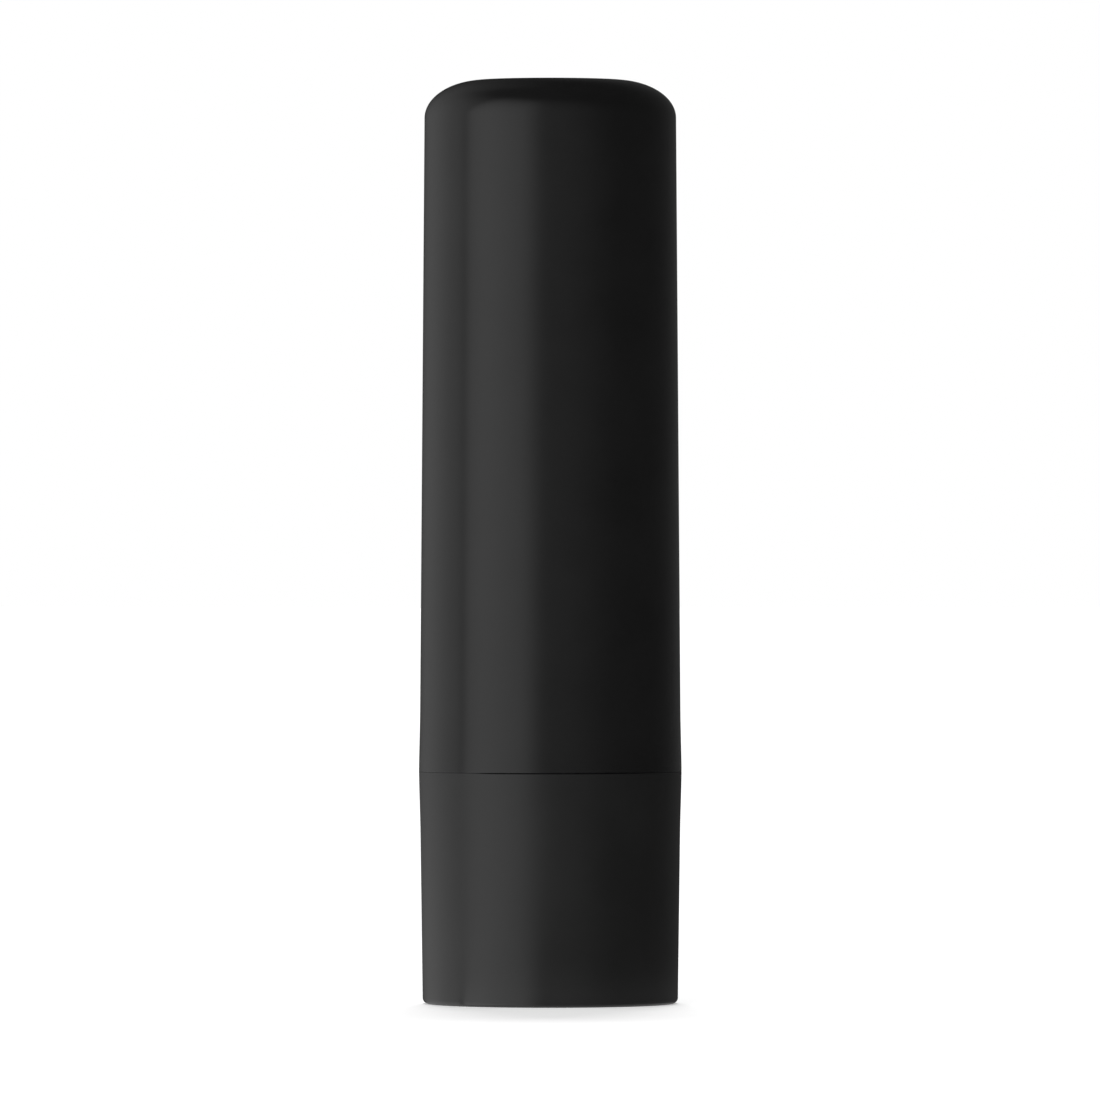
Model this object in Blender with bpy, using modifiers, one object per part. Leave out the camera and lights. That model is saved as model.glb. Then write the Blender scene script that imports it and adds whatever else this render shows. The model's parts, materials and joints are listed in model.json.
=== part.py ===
"""Twist-up lip balm stick with its cap on, standing upright on z = 0. All lengths are in metres.

The user holds the barrel and turns the base. The base's teeth turn the spindle, and the carrier, which the barrel's
ribs keep from turning, climbs the spindle's thread and lifts the balm.
"""
import math

import bmesh
import bpy
from mathutils import Matrix

for old in list(bpy.data.objects):
    bpy.data.objects.remove(old)
parts = bpy.data.collections.new("lip_balm_stick")
cutters = bpy.data.collections.new("cutters")
bpy.context.scene.collection.children.link(parts)
bpy.context.scene.collection.children.link(cutters)

# Outside of the whole stick
OVERALL_HEIGHT = 0.0668
SEAM_RADIUS = 0.0095
BASE_TAPER = 0.00027
CAP_TAPER = 0.0004
SEAM_FLARE = 0.00005
FLARE_LENGTH = 0.0045
FOOT_ROUND = 0.00045
CROWN_DROP = 0.00275
CROWN_INSET = 0.0043
SEAM_EASE = 0.00004

# Base shell
BASE_HEIGHT = 0.0168
BASE_WALL = 0.0011
BASE_FLOOR = 0.0012
RECESS_DEPTH = 0.0004
STANDING_RING_WIDTH = 0.0009
BASE_BEAD_DROP = 0.0026
BASE_BEAD_HEIGHT = 0.0009
TOOTH_COUNT = 6
TOOTH_REACH = 0.0013
TOOTH_WIDTH = 0.0011

# Cap shell
SEAM_GAP = 0.0001
CAP_WALL = 0.0011
CAP_ROOF = 0.0013
CAP_BEAD_RISE = 0.0015
CAP_BEAD_HEIGHT = 0.0009
CAP_BEAD_CLEARANCE = 0.00008

# Barrel tube
RIM_BELOW_ROOF = 0.0255
BARREL_CAP_CLEARANCE = 0.00035
BARREL_WALL = 0.001
BARREL_RIM_ROUND = 0.00025
CAP_RIDGE_RISE = 0.0002
CAP_RIDGE_HEIGHT = 0.0009
RIB_COUNT = 4
RIB_HEIGHT = 0.00035
RIB_WIDTH = 0.0009
RIB_END_MARGIN = 0.0012
GROOVE_RISE = 0.0045
GROOVE_FLOOR = 0.0004

# Spindle
FLANGE_THICKNESS = 0.0012
HUB_HEIGHT = 0.0028
HUB_FOOT_RADIUS = 0.0042
HUB_TOP_RADIUS = 0.0032
SPINDLE_CORE_RADIUS = 0.0019
SPINDLE_BELOW_RIM = 0.003
SPINDLE_TIP_CHAMFER = 0.0006
THREAD_LEAD = 0.003
THREAD_DEPTH = 0.0007
THREAD_CREST = 0.0007
THREAD_FLANK = 0.0004

# Carrier cup
CARRIER_WALL = 0.0008
CARRIER_FLOOR = 0.001
CUP_DEPTH = 0.0055
NUT_LENGTH = 0.0046
NUT_WALL = 0.001
LOWER_SKIRT = 0.0026

# Balm
BALM_PROUD = 0.001
BALM_DOME = 0.003

# Clearances between the pieces
RUNNING_CLEARANCE = 0.00015
SEAT_GAP = 0.0002
THREAD_CLEARANCE = 0.00013
CAST_GAP = 0.0001
RING_CLEARANCE = 0.0001

# Overrun of joined and cutting shapes, which keeps their faces off each other
OVERRUN = 0.0003

# Roundness of the turned shapes
SHELL_SEGMENTS = 48
INNER_SEGMENTS = 36
THREAD_SEGMENTS = 18
RING_SEGMENTS = 36
RING_SIDES = 8
CROWN_STEPS = 8
FOOT_STEPS = 3
FLARE_STEPS = 4
RIM_STEPS = 2
DOME_STEPS = 8
BEAD_SLOPE_SHARE = 0.3
SHARP_ANGLE = math.radians(30)
MERGE_DISTANCE = 0.000001

# Outline and heights that follow from the sizes above
FOOT_RADIUS = SEAM_RADIUS - BASE_TAPER
CROWN_RADIUS = SEAM_RADIUS - CAP_TAPER
CAP_FOOT = BASE_HEIGHT + SEAM_GAP
CROWN_START = OVERALL_HEIGHT - CROWN_DROP
ROOF_INSIDE = OVERALL_HEIGHT - CAP_ROOF
FLOOR_TOP = RECESS_DEPTH + BASE_FLOOR
SPINDLE_FOOT = FLOOR_TOP + SEAT_GAP
FLANGE_TOP = SPINDLE_FOOT + FLANGE_THICKNESS
BARREL_FOOT = FLANGE_TOP + SEAT_GAP
BARREL_RIM = ROOF_INSIDE - RIM_BELOW_ROOF
SPINDLE_TIP = BARREL_RIM - SPINDLE_BELOW_RIM
CARRIER_FOOT = FLANGE_TOP + HUB_HEIGHT + SEAT_GAP
CARRIER_DECK = CARRIER_FOOT + NUT_LENGTH + CARRIER_FLOOR
CARRIER_RIM = CARRIER_DECK + CUP_DEPTH
BALM_TIP = BARREL_RIM + BALM_PROUD
BASE_BEAD_TOP = BASE_HEIGHT - BASE_BEAD_DROP
CAP_BEAD_FOOT = CAP_FOOT + CAP_BEAD_RISE
CAP_RIDGE_FOOT = CAP_BEAD_FOOT + CAP_BEAD_HEIGHT + SEAT_GAP


def skin_radius(height):
    """Outer radius of the closed stick: two straight drafts that flare a little at the seam."""
    straight_seam = SEAM_RADIUS - SEAM_FLARE
    if height < BASE_HEIGHT:
        share = height / BASE_HEIGHT
        straight = FOOT_RADIUS + (straight_seam - FOOT_RADIUS) * share
    else:
        share = (height - BASE_HEIGHT) / (CROWN_START - BASE_HEIGHT)
        straight = straight_seam + (CROWN_RADIUS - straight_seam) * share
    near = max(0, 1 - abs(height - BASE_HEIGHT) / FLARE_LENGTH)
    return straight + SEAM_FLARE * near * near * (3 - 2 * near)


def base_bore(height):
    """Inner radius of the base shell, which follows its skin."""
    return skin_radius(height) - BASE_WALL


def cap_bore(height):
    """Inner radius of the cap's wall, which follows its skin."""
    return skin_radius(height) - CAP_WALL


# Radii of the inner pieces
BARREL_RADIUS = min(
    cap_bore(BARREL_RIM) - BARREL_CAP_CLEARANCE,
    base_bore(BARREL_FOOT) - RUNNING_CLEARANCE,
)
BARREL_BORE = BARREL_RADIUS - BARREL_WALL
CAP_RIDGE_RADIUS = BARREL_RADIUS + CAP_RIDGE_RISE
SLIDING_RADIUS = BARREL_BORE - RUNNING_CLEARANCE
CUP_BORE = SLIDING_RADIUS - CARRIER_WALL
THREAD_RADIUS = SPINDLE_CORE_RADIUS + THREAD_DEPTH
BALM_BORE = THREAD_RADIUS + RUNNING_CLEARANCE
RING_CENTRE_HEIGHT = BARREL_FOOT + GROOVE_RISE
RING_INNER = BARREL_BORE + GROOVE_FLOOR + RING_CLEARANCE
RING_OUTER = base_bore(RING_CENTRE_HEIGHT) - RING_CLEARANCE
RING_THICKNESS = RING_OUTER - RING_INNER
GROOVE_HALF_HEIGHT = RING_THICKNESS / 2 + RING_CLEARANCE


def barrel_side(height):
    """Outer radius of the barrel's plain wall, which has no draft."""
    return BARREL_RADIUS


def oval_arc(centre, half_sizes, start, end, steps):
    """Points (radius, height) on an oval, from one angle to the other."""
    points = []
    for step in range(steps + 1):
        angle = start + (end - start) * step / steps
        points.append(
            (
                centre[0] + half_sizes[0] * math.cos(angle),
                centre[1] + half_sizes[1] * math.sin(angle),
            )
        )
    return points


def bead(wall_radius, crest_radius, foot, height):
    """Four points of a snap bead with sloped sides, from its foot up."""
    slope = height * BEAD_SLOPE_SHARE
    return [
        (wall_radius(foot), foot),
        (crest_radius, foot + slope),
        (crest_radius, foot + height - slope),
        (wall_radius(foot + height), foot + height),
    ]


def skin_points(low, high):
    """Points down the outside from a height to a lower one, closer together where it flares."""
    heights = [high, low]
    for step in range(1, FLARE_STEPS + 1):
        reach = FLARE_LENGTH * step / FLARE_STEPS
        heights += [BASE_HEIGHT - reach, BASE_HEIGHT + reach]
    inside = [height for height in heights if low <= height <= high]
    return [(skin_radius(height), height) for height in sorted(inside, reverse=True)]


def new_object(name, mesh):
    shape = bpy.data.objects.new(name, mesh)
    parts.objects.link(shape)
    return shape


def as_tool(shape):
    """Moves a shape that only cuts or joins another one out of the parts."""
    parts.objects.unlink(shape)
    cutters.objects.link(shape)
    shape.hide_render = True
    shape.display_type = "WIRE"
    return shape


def profile_mesh(name, points, closed):
    """A profile in the XZ plane as a chain of edges."""
    mesh = bpy.data.meshes.new(name)
    edges = [(i, i + 1) for i in range(len(points) - 1)]
    if closed:
        edges.append((len(points) - 1, 0))
    mesh.from_pydata([(radius, 0, height) for radius, height in points], edges, [])
    return mesh


def add_screw(shape, segments, angle=math.tau, lead=0, turns=1):
    screw = shape.modifiers.new("turn", "SCREW")
    screw.axis = "Z"
    screw.angle = angle
    screw.screw_offset = lead
    screw.iterations = turns
    screw.steps = segments
    screw.render_steps = segments
    screw.use_merge_vertices = True
    screw.merge_threshold = MERGE_DISTANCE


def turned(name, points, segments, closed=False):
    """A piece turned from a profile that runs down its outer side."""
    piece = new_object(name, profile_mesh(name, points, closed))
    add_screw(piece, segments)
    return piece


def spokes(name, count, inner, outer, width, low, high):
    """Equal boxes set round the axis like spokes, each from one radius to another."""
    mesh = bpy.data.meshes.new(name)
    shape = bmesh.new()
    size = Matrix.Diagonal((outer - inner, width, high - low, 1))
    place = Matrix.Translation(((outer + inner) / 2, 0, (high + low) / 2))
    for index in range(count):
        turn = Matrix.Rotation(math.tau * index / count, 4, "Z")
        bmesh.ops.create_cube(shape, size=1, matrix=turn @ place @ size)
    shape.to_mesh(mesh)
    shape.free()
    return as_tool(new_object(name, mesh))


def combine(piece, tool, operation):
    """A live Boolean: UNION, DIFFERENCE or INTERSECT."""
    boolean = piece.modifiers.new(tool.name, "BOOLEAN")
    boolean.operation = operation
    boolean.solver = "EXACT"
    boolean.object = tool


def evaluated_mesh(shape):
    graph = bpy.context.evaluated_depsgraph_get()
    return bpy.data.meshes.new_from_object(shape.evaluated_get(graph))


def threaded_rod(name, low, high, clearance=0):
    """A closed left-hand thread, past both heights by at least a turn. A clearance makes it a nut's cutter."""
    crest = THREAD_CREST / 2 + clearance
    flank = crest + THREAD_FLANK
    root_radius = SPINDLE_CORE_RADIUS + clearance
    crest_radius = THREAD_RADIUS + clearance
    turns_below = math.ceil(-low / THREAD_LEAD) + 1
    start = -turns_below * THREAD_LEAD
    turns = math.ceil((high - start) / THREAD_LEAD) + 1
    points = [
        (root_radius, start - flank),
        (crest_radius, start - crest),
        (crest_radius, start + crest),
        (root_radius, start + flank),
        (root_radius, start - flank + THREAD_LEAD),
    ]
    sweep = new_object(name + "_sweep", profile_mesh(name, points, closed=False))
    add_screw(sweep, THREAD_SEGMENTS, angle=-math.tau, lead=THREAD_LEAD, turns=turns)
    mesh = evaluated_mesh(sweep)
    bpy.data.objects.remove(sweep)
    shape = bmesh.new()
    shape.from_mesh(mesh)
    bmesh.ops.remove_doubles(shape, verts=shape.verts, dist=MERGE_DISTANCE)
    open_edges = [edge for edge in shape.edges if edge.is_boundary]
    ends = bmesh.ops.holes_fill(shape, edges=open_edges, sides=0)["faces"]
    bmesh.ops.poke(shape, faces=ends)
    bmesh.ops.recalc_face_normals(shape, faces=shape.faces)
    shape.to_mesh(mesh)
    shape.free()
    return as_tool(new_object(name, mesh))


def make_base_shell():
    """The cup that the user turns: recessed underside, standing ring, snap bead and teeth for the spindle."""
    ring_outer = skin_radius(FOOT_ROUND) - FOOT_ROUND
    ring_inner = ring_outer - STANDING_RING_WIDTH
    bead_foot = BASE_BEAD_TOP - BASE_BEAD_HEIGHT
    bead_radius = BARREL_RADIUS + RUNNING_CLEARANCE
    inside = [(0, FLOOR_TOP), (base_bore(FLOOR_TOP), FLOOR_TOP)]
    inside += bead(base_bore, bead_radius, bead_foot, BASE_BEAD_HEIGHT)
    inside += [
        (base_bore(BASE_HEIGHT - SEAM_EASE), BASE_HEIGHT - SEAM_EASE),
        (base_bore(BASE_HEIGHT) + SEAM_EASE, BASE_HEIGHT),
    ]
    outside = [(SEAM_RADIUS - SEAM_EASE, BASE_HEIGHT)]
    outside += skin_points(FOOT_ROUND, BASE_HEIGHT - SEAM_EASE)[:-1]
    outside += oval_arc((ring_outer, FOOT_ROUND), (FOOT_ROUND, FOOT_ROUND), 0, -math.pi / 2, FOOT_STEPS)
    underside = [(ring_inner, 0), (ring_inner - RECESS_DEPTH / 2, RECESS_DEPTH), (0, RECESS_DEPTH)]
    shell = turned("base_shell", inside + outside + underside, SHELL_SEGMENTS)
    teeth = spokes(
        "base_teeth",
        TOOTH_COUNT,
        base_bore(FLOOR_TOP) - TOOTH_REACH,
        base_bore(FLOOR_TOP) + OVERRUN,
        TOOTH_WIDTH,
        FLOOR_TOP - OVERRUN,
        FLANGE_TOP,
    )
    combine(shell, teeth, "UNION")
    return shell


def make_cap_shell():
    """The pull-off cap: a low rounded crown, and a bead in its mouth that passes the barrel's ridge."""
    crown_centre = (CROWN_RADIUS - CROWN_INSET, CROWN_START)
    corner_round = ROOF_INSIDE - CROWN_START
    corner_centre = (cap_bore(CROWN_START) - corner_round, CROWN_START)
    bead_radius = CAP_RIDGE_RADIUS + CAP_BEAD_CLEARANCE
    outside = [(0, OVERALL_HEIGHT)]
    outside += oval_arc(crown_centre, (CROWN_INSET, CROWN_DROP), math.pi / 2, 0, CROWN_STEPS)
    outside += skin_points(CAP_FOOT + SEAM_EASE, CROWN_START)[1:]
    outside += [(skin_radius(CAP_FOOT) - SEAM_EASE, CAP_FOOT)]
    inside = [
        (cap_bore(CAP_FOOT) + SEAM_EASE, CAP_FOOT),
        (cap_bore(CAP_FOOT + SEAM_EASE), CAP_FOOT + SEAM_EASE),
    ]
    inside += bead(cap_bore, bead_radius, CAP_BEAD_FOOT, CAP_BEAD_HEIGHT)
    inside += oval_arc(corner_centre, (corner_round, corner_round), 0, math.pi / 2, CROWN_STEPS // 2)
    inside += [(0, ROOF_INSIDE)]
    return turned("cap_shell", outside + inside, SHELL_SEGMENTS)


def make_spindle():
    """The screw post: a notched flange in the base's teeth, a tapered hub and a left-hand thread."""
    flange_radius = base_bore(SPINDLE_FOOT) - SEAT_GAP
    hub_top = FLANGE_TOP + HUB_HEIGHT
    foot = [
        (0, hub_top),
        (HUB_TOP_RADIUS, hub_top),
        (HUB_FOOT_RADIUS, FLANGE_TOP),
        (flange_radius, FLANGE_TOP),
        (flange_radius, SPINDLE_FOOT),
        (0, SPINDLE_FOOT),
    ]
    spindle = turned("spindle", foot, INNER_SEGMENTS)
    post_points = [
        (0, SPINDLE_TIP),
        (THREAD_RADIUS - SPINDLE_TIP_CHAMFER, SPINDLE_TIP),
        (THREAD_RADIUS + OVERRUN, SPINDLE_TIP - SPINDLE_TIP_CHAMFER - OVERRUN),
        (THREAD_RADIUS + OVERRUN, FLANGE_TOP),
        (0, FLANGE_TOP),
    ]
    post = as_tool(turned("spindle_post", post_points, INNER_SEGMENTS))
    thread = threaded_rod("spindle_thread", FLANGE_TOP, SPINDLE_TIP)
    combine(post, thread, "INTERSECT")
    combine(spindle, post, "UNION")
    notches = spokes(
        "spindle_notches",
        TOOTH_COUNT,
        base_bore(FLOOR_TOP) - TOOTH_REACH - SEAT_GAP,
        flange_radius + OVERRUN,
        TOOTH_WIDTH + 2 * SEAT_GAP,
        SPINDLE_FOOT - OVERRUN,
        FLANGE_TOP + OVERRUN,
    )
    combine(spindle, notches, "DIFFERENCE")
    return spindle


def make_barrel_tube():
    """The guide tube: a ridge for the cap, a bead under the base's, a groove for the ring and ribs inside."""
    snap_top = BASE_BEAD_TOP - BASE_BEAD_HEIGHT - RUNNING_CLEARANCE
    snap_foot = snap_top - BASE_BEAD_HEIGHT
    snap_radius = base_bore(snap_foot) - RUNNING_CLEARANCE
    groove_radius = BARREL_BORE + GROOVE_FLOOR
    groove_top = RING_CENTRE_HEIGHT + GROOVE_HALF_HEIGHT
    groove_foot = RING_CENTRE_HEIGHT - GROOVE_HALF_HEIGHT
    rim_size = (BARREL_RIM_ROUND, BARREL_RIM_ROUND)
    rim_height = BARREL_RIM - BARREL_RIM_ROUND
    inner_rim = (BARREL_BORE + BARREL_RIM_ROUND, rim_height)
    outer_rim = (BARREL_RADIUS - BARREL_RIM_ROUND, rim_height)

    points = oval_arc(inner_rim, rim_size, math.pi, math.pi / 2, RIM_STEPS)
    points += oval_arc(outer_rim, rim_size, math.pi / 2, 0, RIM_STEPS)
    points += reversed(bead(barrel_side, CAP_RIDGE_RADIUS, CAP_RIDGE_FOOT, CAP_RIDGE_HEIGHT))
    points += reversed(bead(barrel_side, snap_radius, snap_foot, BASE_BEAD_HEIGHT))
    points += [
        (BARREL_RADIUS, groove_top),
        (groove_radius, groove_top),
        (groove_radius, groove_foot),
        (BARREL_RADIUS, groove_foot),
        (BARREL_RADIUS, BARREL_FOOT),
        (BARREL_BORE, BARREL_FOOT),
    ]
    barrel = turned("barrel_tube", points, SHELL_SEGMENTS, closed=True)
    ribs = spokes(
        "barrel_ribs",
        RIB_COUNT,
        BARREL_BORE - RIB_HEIGHT,
        BARREL_BORE + GROOVE_FLOOR / 2,
        RIB_WIDTH,
        BARREL_FOOT + RIB_END_MARGIN,
        BARREL_RIM - RIB_END_MARGIN,
    )
    combine(barrel, ribs, "UNION")
    return barrel


def make_friction_ring():
    """The soft ring between the barrel's groove and the base."""
    bpy.ops.mesh.primitive_torus_add(
        major_segments=RING_SEGMENTS,
        minor_segments=RING_SIDES,
        major_radius=(RING_INNER + RING_OUTER) / 2,
        minor_radius=RING_THICKNESS / 2,
        location=(0, 0, RING_CENTRE_HEIGHT),
    )
    ring = bpy.context.object
    ring.name = "friction_ring"
    for home in list(ring.users_collection):
        home.objects.unlink(ring)
    parts.objects.link(ring)
    return ring


def cut_rib_tracks(piece, name, low, high):
    """Tracks down a piece's side, in which the barrel's ribs run."""
    tracks = spokes(
        name,
        RIB_COUNT,
        BARREL_BORE - RIB_HEIGHT - RUNNING_CLEARANCE,
        BARREL_BORE + OVERRUN,
        RIB_WIDTH + 2 * RUNNING_CLEARANCE,
        low - OVERRUN,
        high + OVERRUN,
    )
    combine(piece, tracks, "DIFFERENCE")


def make_carrier_cup():
    """The cup under the balm: wall and floor, a guide skirt below and the nut in the middle."""
    floor_foot = CARRIER_DECK - CARRIER_FLOOR
    skirt_foot = floor_foot - LOWER_SKIRT
    nut_radius = THREAD_RADIUS + THREAD_CLEARANCE + NUT_WALL
    blank_bore = SPINDLE_CORE_RADIUS / 2
    points = [
        (CUP_BORE, CARRIER_RIM),
        (SLIDING_RADIUS, CARRIER_RIM),
        (SLIDING_RADIUS, skirt_foot),
        (CUP_BORE, skirt_foot),
        (CUP_BORE, floor_foot),
        (nut_radius, floor_foot),
        (nut_radius, CARRIER_FOOT),
        (blank_bore, CARRIER_FOOT),
        (blank_bore, CARRIER_DECK),
        (CUP_BORE, CARRIER_DECK),
    ]
    carrier = turned("carrier_cup", points, INNER_SEGMENTS, closed=True)
    cutter = threaded_rod("nut_thread", CARRIER_FOOT, CARRIER_DECK, THREAD_CLEARANCE)
    combine(carrier, cutter, "DIFFERENCE")
    cut_rib_tracks(carrier, "carrier_tracks", skirt_foot, CARRIER_RIM)
    return carrier


def make_balm_stick():
    """The balm: a domed stick over a plug in the cup, bored for the spindle."""
    plug_radius = CUP_BORE - CAST_GAP
    plug_top = CARRIER_RIM + CAST_GAP
    balm_foot = CARRIER_DECK + CAST_GAP
    bore_top = SPINDLE_TIP + SEAT_GAP
    dome_foot = BALM_TIP - BALM_DOME
    points = oval_arc((0, dome_foot), (SLIDING_RADIUS, BALM_DOME), math.pi / 2, 0, DOME_STEPS)
    points += [
        (SLIDING_RADIUS, plug_top),
        (plug_radius, plug_top),
        (plug_radius, balm_foot),
        (BALM_BORE, balm_foot),
        (BALM_BORE, bore_top),
        (0, bore_top),
    ]
    balm = turned("balm_stick", points, INNER_SEGMENTS)
    cut_rib_tracks(balm, "balm_tracks", plug_top, BALM_TIP)
    return balm


def new_material(name, colour, roughness):
    material = bpy.data.materials.new(name)
    material.use_nodes = True
    shader = material.node_tree.nodes["Principled BSDF"]
    shader.inputs["Base Color"].default_value = (*colour, 1)
    shader.inputs["Roughness"].default_value = roughness
    shader.inputs["Metallic"].default_value = 0
    return material


def finish_piece(piece, material):
    """Applies the modifiers, so that the round faces can be shaded smooth between sharp edges."""
    mesh = evaluated_mesh(piece)
    mesh.name = piece.name
    piece.modifiers.clear()
    piece.data = mesh
    mesh.shade_smooth()
    mesh.set_sharp_from_angle(angle=SHARP_ANGLE)
    mesh.materials.clear()
    mesh.materials.append(material)


def joint_axis(name, held_by):
    """An empty on the stick's axis, which carries one moving body."""
    axis = new_object(name, None)
    axis.parent = held_by
    return axis


BLACK = (0.018, 0.018, 0.019)
NATURAL_WHITE = (0.78, 0.77, 0.73)
RING_GREY = (0.42, 0.42, 0.41)
BALM_CREAM = (0.86, 0.80, 0.66)

base_shell = make_base_shell()
cap_shell = make_cap_shell()
spindle = make_spindle()
barrel_tube = make_barrel_tube()
friction_ring = make_friction_ring()
carrier_cup = make_carrier_cup()
balm_stick = make_balm_stick()

finish_piece(base_shell, new_material("base_plastic", BLACK, 0.3))
finish_piece(cap_shell, new_material("cap_plastic", BLACK, 0.3))
finish_piece(spindle, new_material("spindle_plastic", NATURAL_WHITE, 0.45))
finish_piece(barrel_tube, new_material("barrel_plastic", NATURAL_WHITE, 0.4))
finish_piece(friction_ring, new_material("ring_rubber", RING_GREY, 0.6))
finish_piece(carrier_cup, new_material("carrier_plastic", NATURAL_WHITE, 0.45))
finish_piece(balm_stick, new_material("balm_wax", BALM_CREAM, 0.4))

twist_axis = joint_axis("twist_axis", base_shell)
lift_axis = joint_axis("lift_axis", twist_axis)
cap_axis = joint_axis("cap_axis", twist_axis)
spindle.parent = base_shell
barrel_tube.parent = twist_axis
friction_ring.parent = twist_axis
carrier_cup.parent = lift_axis
balm_stick.parent = lift_axis
cap_shell.parent = cap_axis
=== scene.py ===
"""Studio scene of a twist-up lip balm stick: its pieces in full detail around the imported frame.

Lengths are in metres. Heights count from the surface that the stick stands on, the stick's axis is Z,
and the front, which the camera sees, faces along -Y.
"""
import json
import logging
import math
from dataclasses import asdict, dataclass, field, fields
from enum import Enum
from functools import partial, reduce
from typing import Any, Callable, ClassVar, Sequence, TypeAlias

import bmesh
import bpy
from mathutils import Matrix, Vector


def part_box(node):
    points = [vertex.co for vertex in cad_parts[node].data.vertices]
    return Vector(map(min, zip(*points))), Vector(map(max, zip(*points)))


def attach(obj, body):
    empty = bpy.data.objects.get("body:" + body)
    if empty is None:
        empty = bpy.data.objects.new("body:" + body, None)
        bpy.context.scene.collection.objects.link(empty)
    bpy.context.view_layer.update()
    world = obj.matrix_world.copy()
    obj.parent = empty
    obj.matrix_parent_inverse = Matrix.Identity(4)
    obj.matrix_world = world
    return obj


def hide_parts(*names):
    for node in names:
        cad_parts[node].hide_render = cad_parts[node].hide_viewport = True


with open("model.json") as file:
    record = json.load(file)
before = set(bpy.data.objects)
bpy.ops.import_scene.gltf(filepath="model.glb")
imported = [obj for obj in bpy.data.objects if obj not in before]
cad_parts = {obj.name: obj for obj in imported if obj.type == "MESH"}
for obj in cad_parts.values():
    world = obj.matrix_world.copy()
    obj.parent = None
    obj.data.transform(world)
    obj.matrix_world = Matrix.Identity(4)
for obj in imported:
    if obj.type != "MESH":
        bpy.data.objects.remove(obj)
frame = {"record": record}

LOG = logging.getLogger("lip_balm_stick")
SHARP_ANGLE = math.radians(32)
MERGE_DISTANCE = 2e-7
EDGE = 0.0001
NODE_SPACING = (190, 230)
NODES_A_ROW = 12
WHITE = (1.0, 1.0, 1.0, 1.0)

# A Mix node has several sockets of one name, so its factor, two colours and result go by number.
MIX_INPUTS = (0, 6, 7)
MIX_RESULT = 2

# The rays that show a background, where the others light the stick.
SHOWING_RAYS = ("Camera", "Glossy", "Transmission")

Point = tuple[float, float]
Corner = tuple[float, float, float]
Colour = tuple[float, float, float]
Wall = Callable[[float], float]
Mesh = bpy.types.Mesh
Socket = bpy.types.NodeSocket
Number: TypeAlias = "Value | float"


# Values and node trees


class Value:
    """A number on a node's socket. Python's operators on it add Math nodes to its tree."""

    def __init__(self, tree: "NodeTree", socket: Socket) -> None:
        """Wraps an output socket of a node in the tree."""
        self.tree = tree
        self.socket = socket

    def math(self, operation: str, *others: Number) -> "Value":
        """Returns the result of a Math node that takes this value first."""
        return self.tree.math(operation, self, *others)

    def __add__(self, other: Number) -> "Value":
        """Returns the sum."""
        return self.math("ADD", other)

    __radd__ = __add__

    def __sub__(self, other: Number) -> "Value":
        """Returns the difference."""
        return self.math("SUBTRACT", other)

    def __rsub__(self, other: float) -> "Value":
        """Returns the difference, with the number first."""
        return self.tree.math("SUBTRACT", other, self)

    def __mul__(self, other: Number) -> "Value":
        """Returns the product."""
        return self.math("MULTIPLY", other)

    __rmul__ = __mul__

    def __truediv__(self, other: Number) -> "Value":
        """Returns the quotient."""
        return self.math("DIVIDE", other)

    def __rtruediv__(self, other: float) -> "Value":
        """Returns the quotient, with the number first."""
        return self.tree.math("DIVIDE", other, self)

    def __abs__(self) -> "Value":
        """Returns the value without its sign."""
        return self.math("ABSOLUTE")

    def least(self, other: Number) -> "Value":
        """Returns the lesser of the two."""
        return self.math("MINIMUM", other)

    def most(self, other: Number) -> "Value":
        """Returns the greater of the two."""
        return self.math("MAXIMUM", other)

    def above(self, limit: Number) -> "Value":
        """Returns 1 where the value is above the limit, and 0 elsewhere."""
        return self.math("GREATER_THAN", limit)

    def below(self, limit: Number) -> "Value":
        """Returns 1 where the value is below the limit, and 0 elsewhere."""
        return self.math("LESS_THAN", limit)

    def root(self) -> "Value":
        """Returns the square root."""
        return self.math("SQRT")

    def sine(self) -> "Value":
        """Returns the sine of an angle in radians."""
        return self.math("SINE")

    def cosine(self) -> "Value":
        """Returns the cosine of an angle in radians."""
        return self.math("COSINE")

    def wrapped(self) -> "Value":
        """Returns the value's distance from the nearest whole number, with its sign."""
        return self.math("WRAP", 0.5, -0.5)

    def step(self, low: Number, high: Number) -> "Value":
        """Returns a smooth rise from 0 to 1 between two values, of which low may be the greater."""
        sockets = {"Value": self, "From Min": low, "From Max": high}
        return self.tree.value("ShaderNodeMapRange", {"interpolation_type": "SMOOTHSTEP"}, sockets)

    def mixed(self, low: Number, high: Number) -> "Value":
        """Returns a value between low, where this one is 0, and high, where it is 1."""
        return self * (high - low) + low


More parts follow.
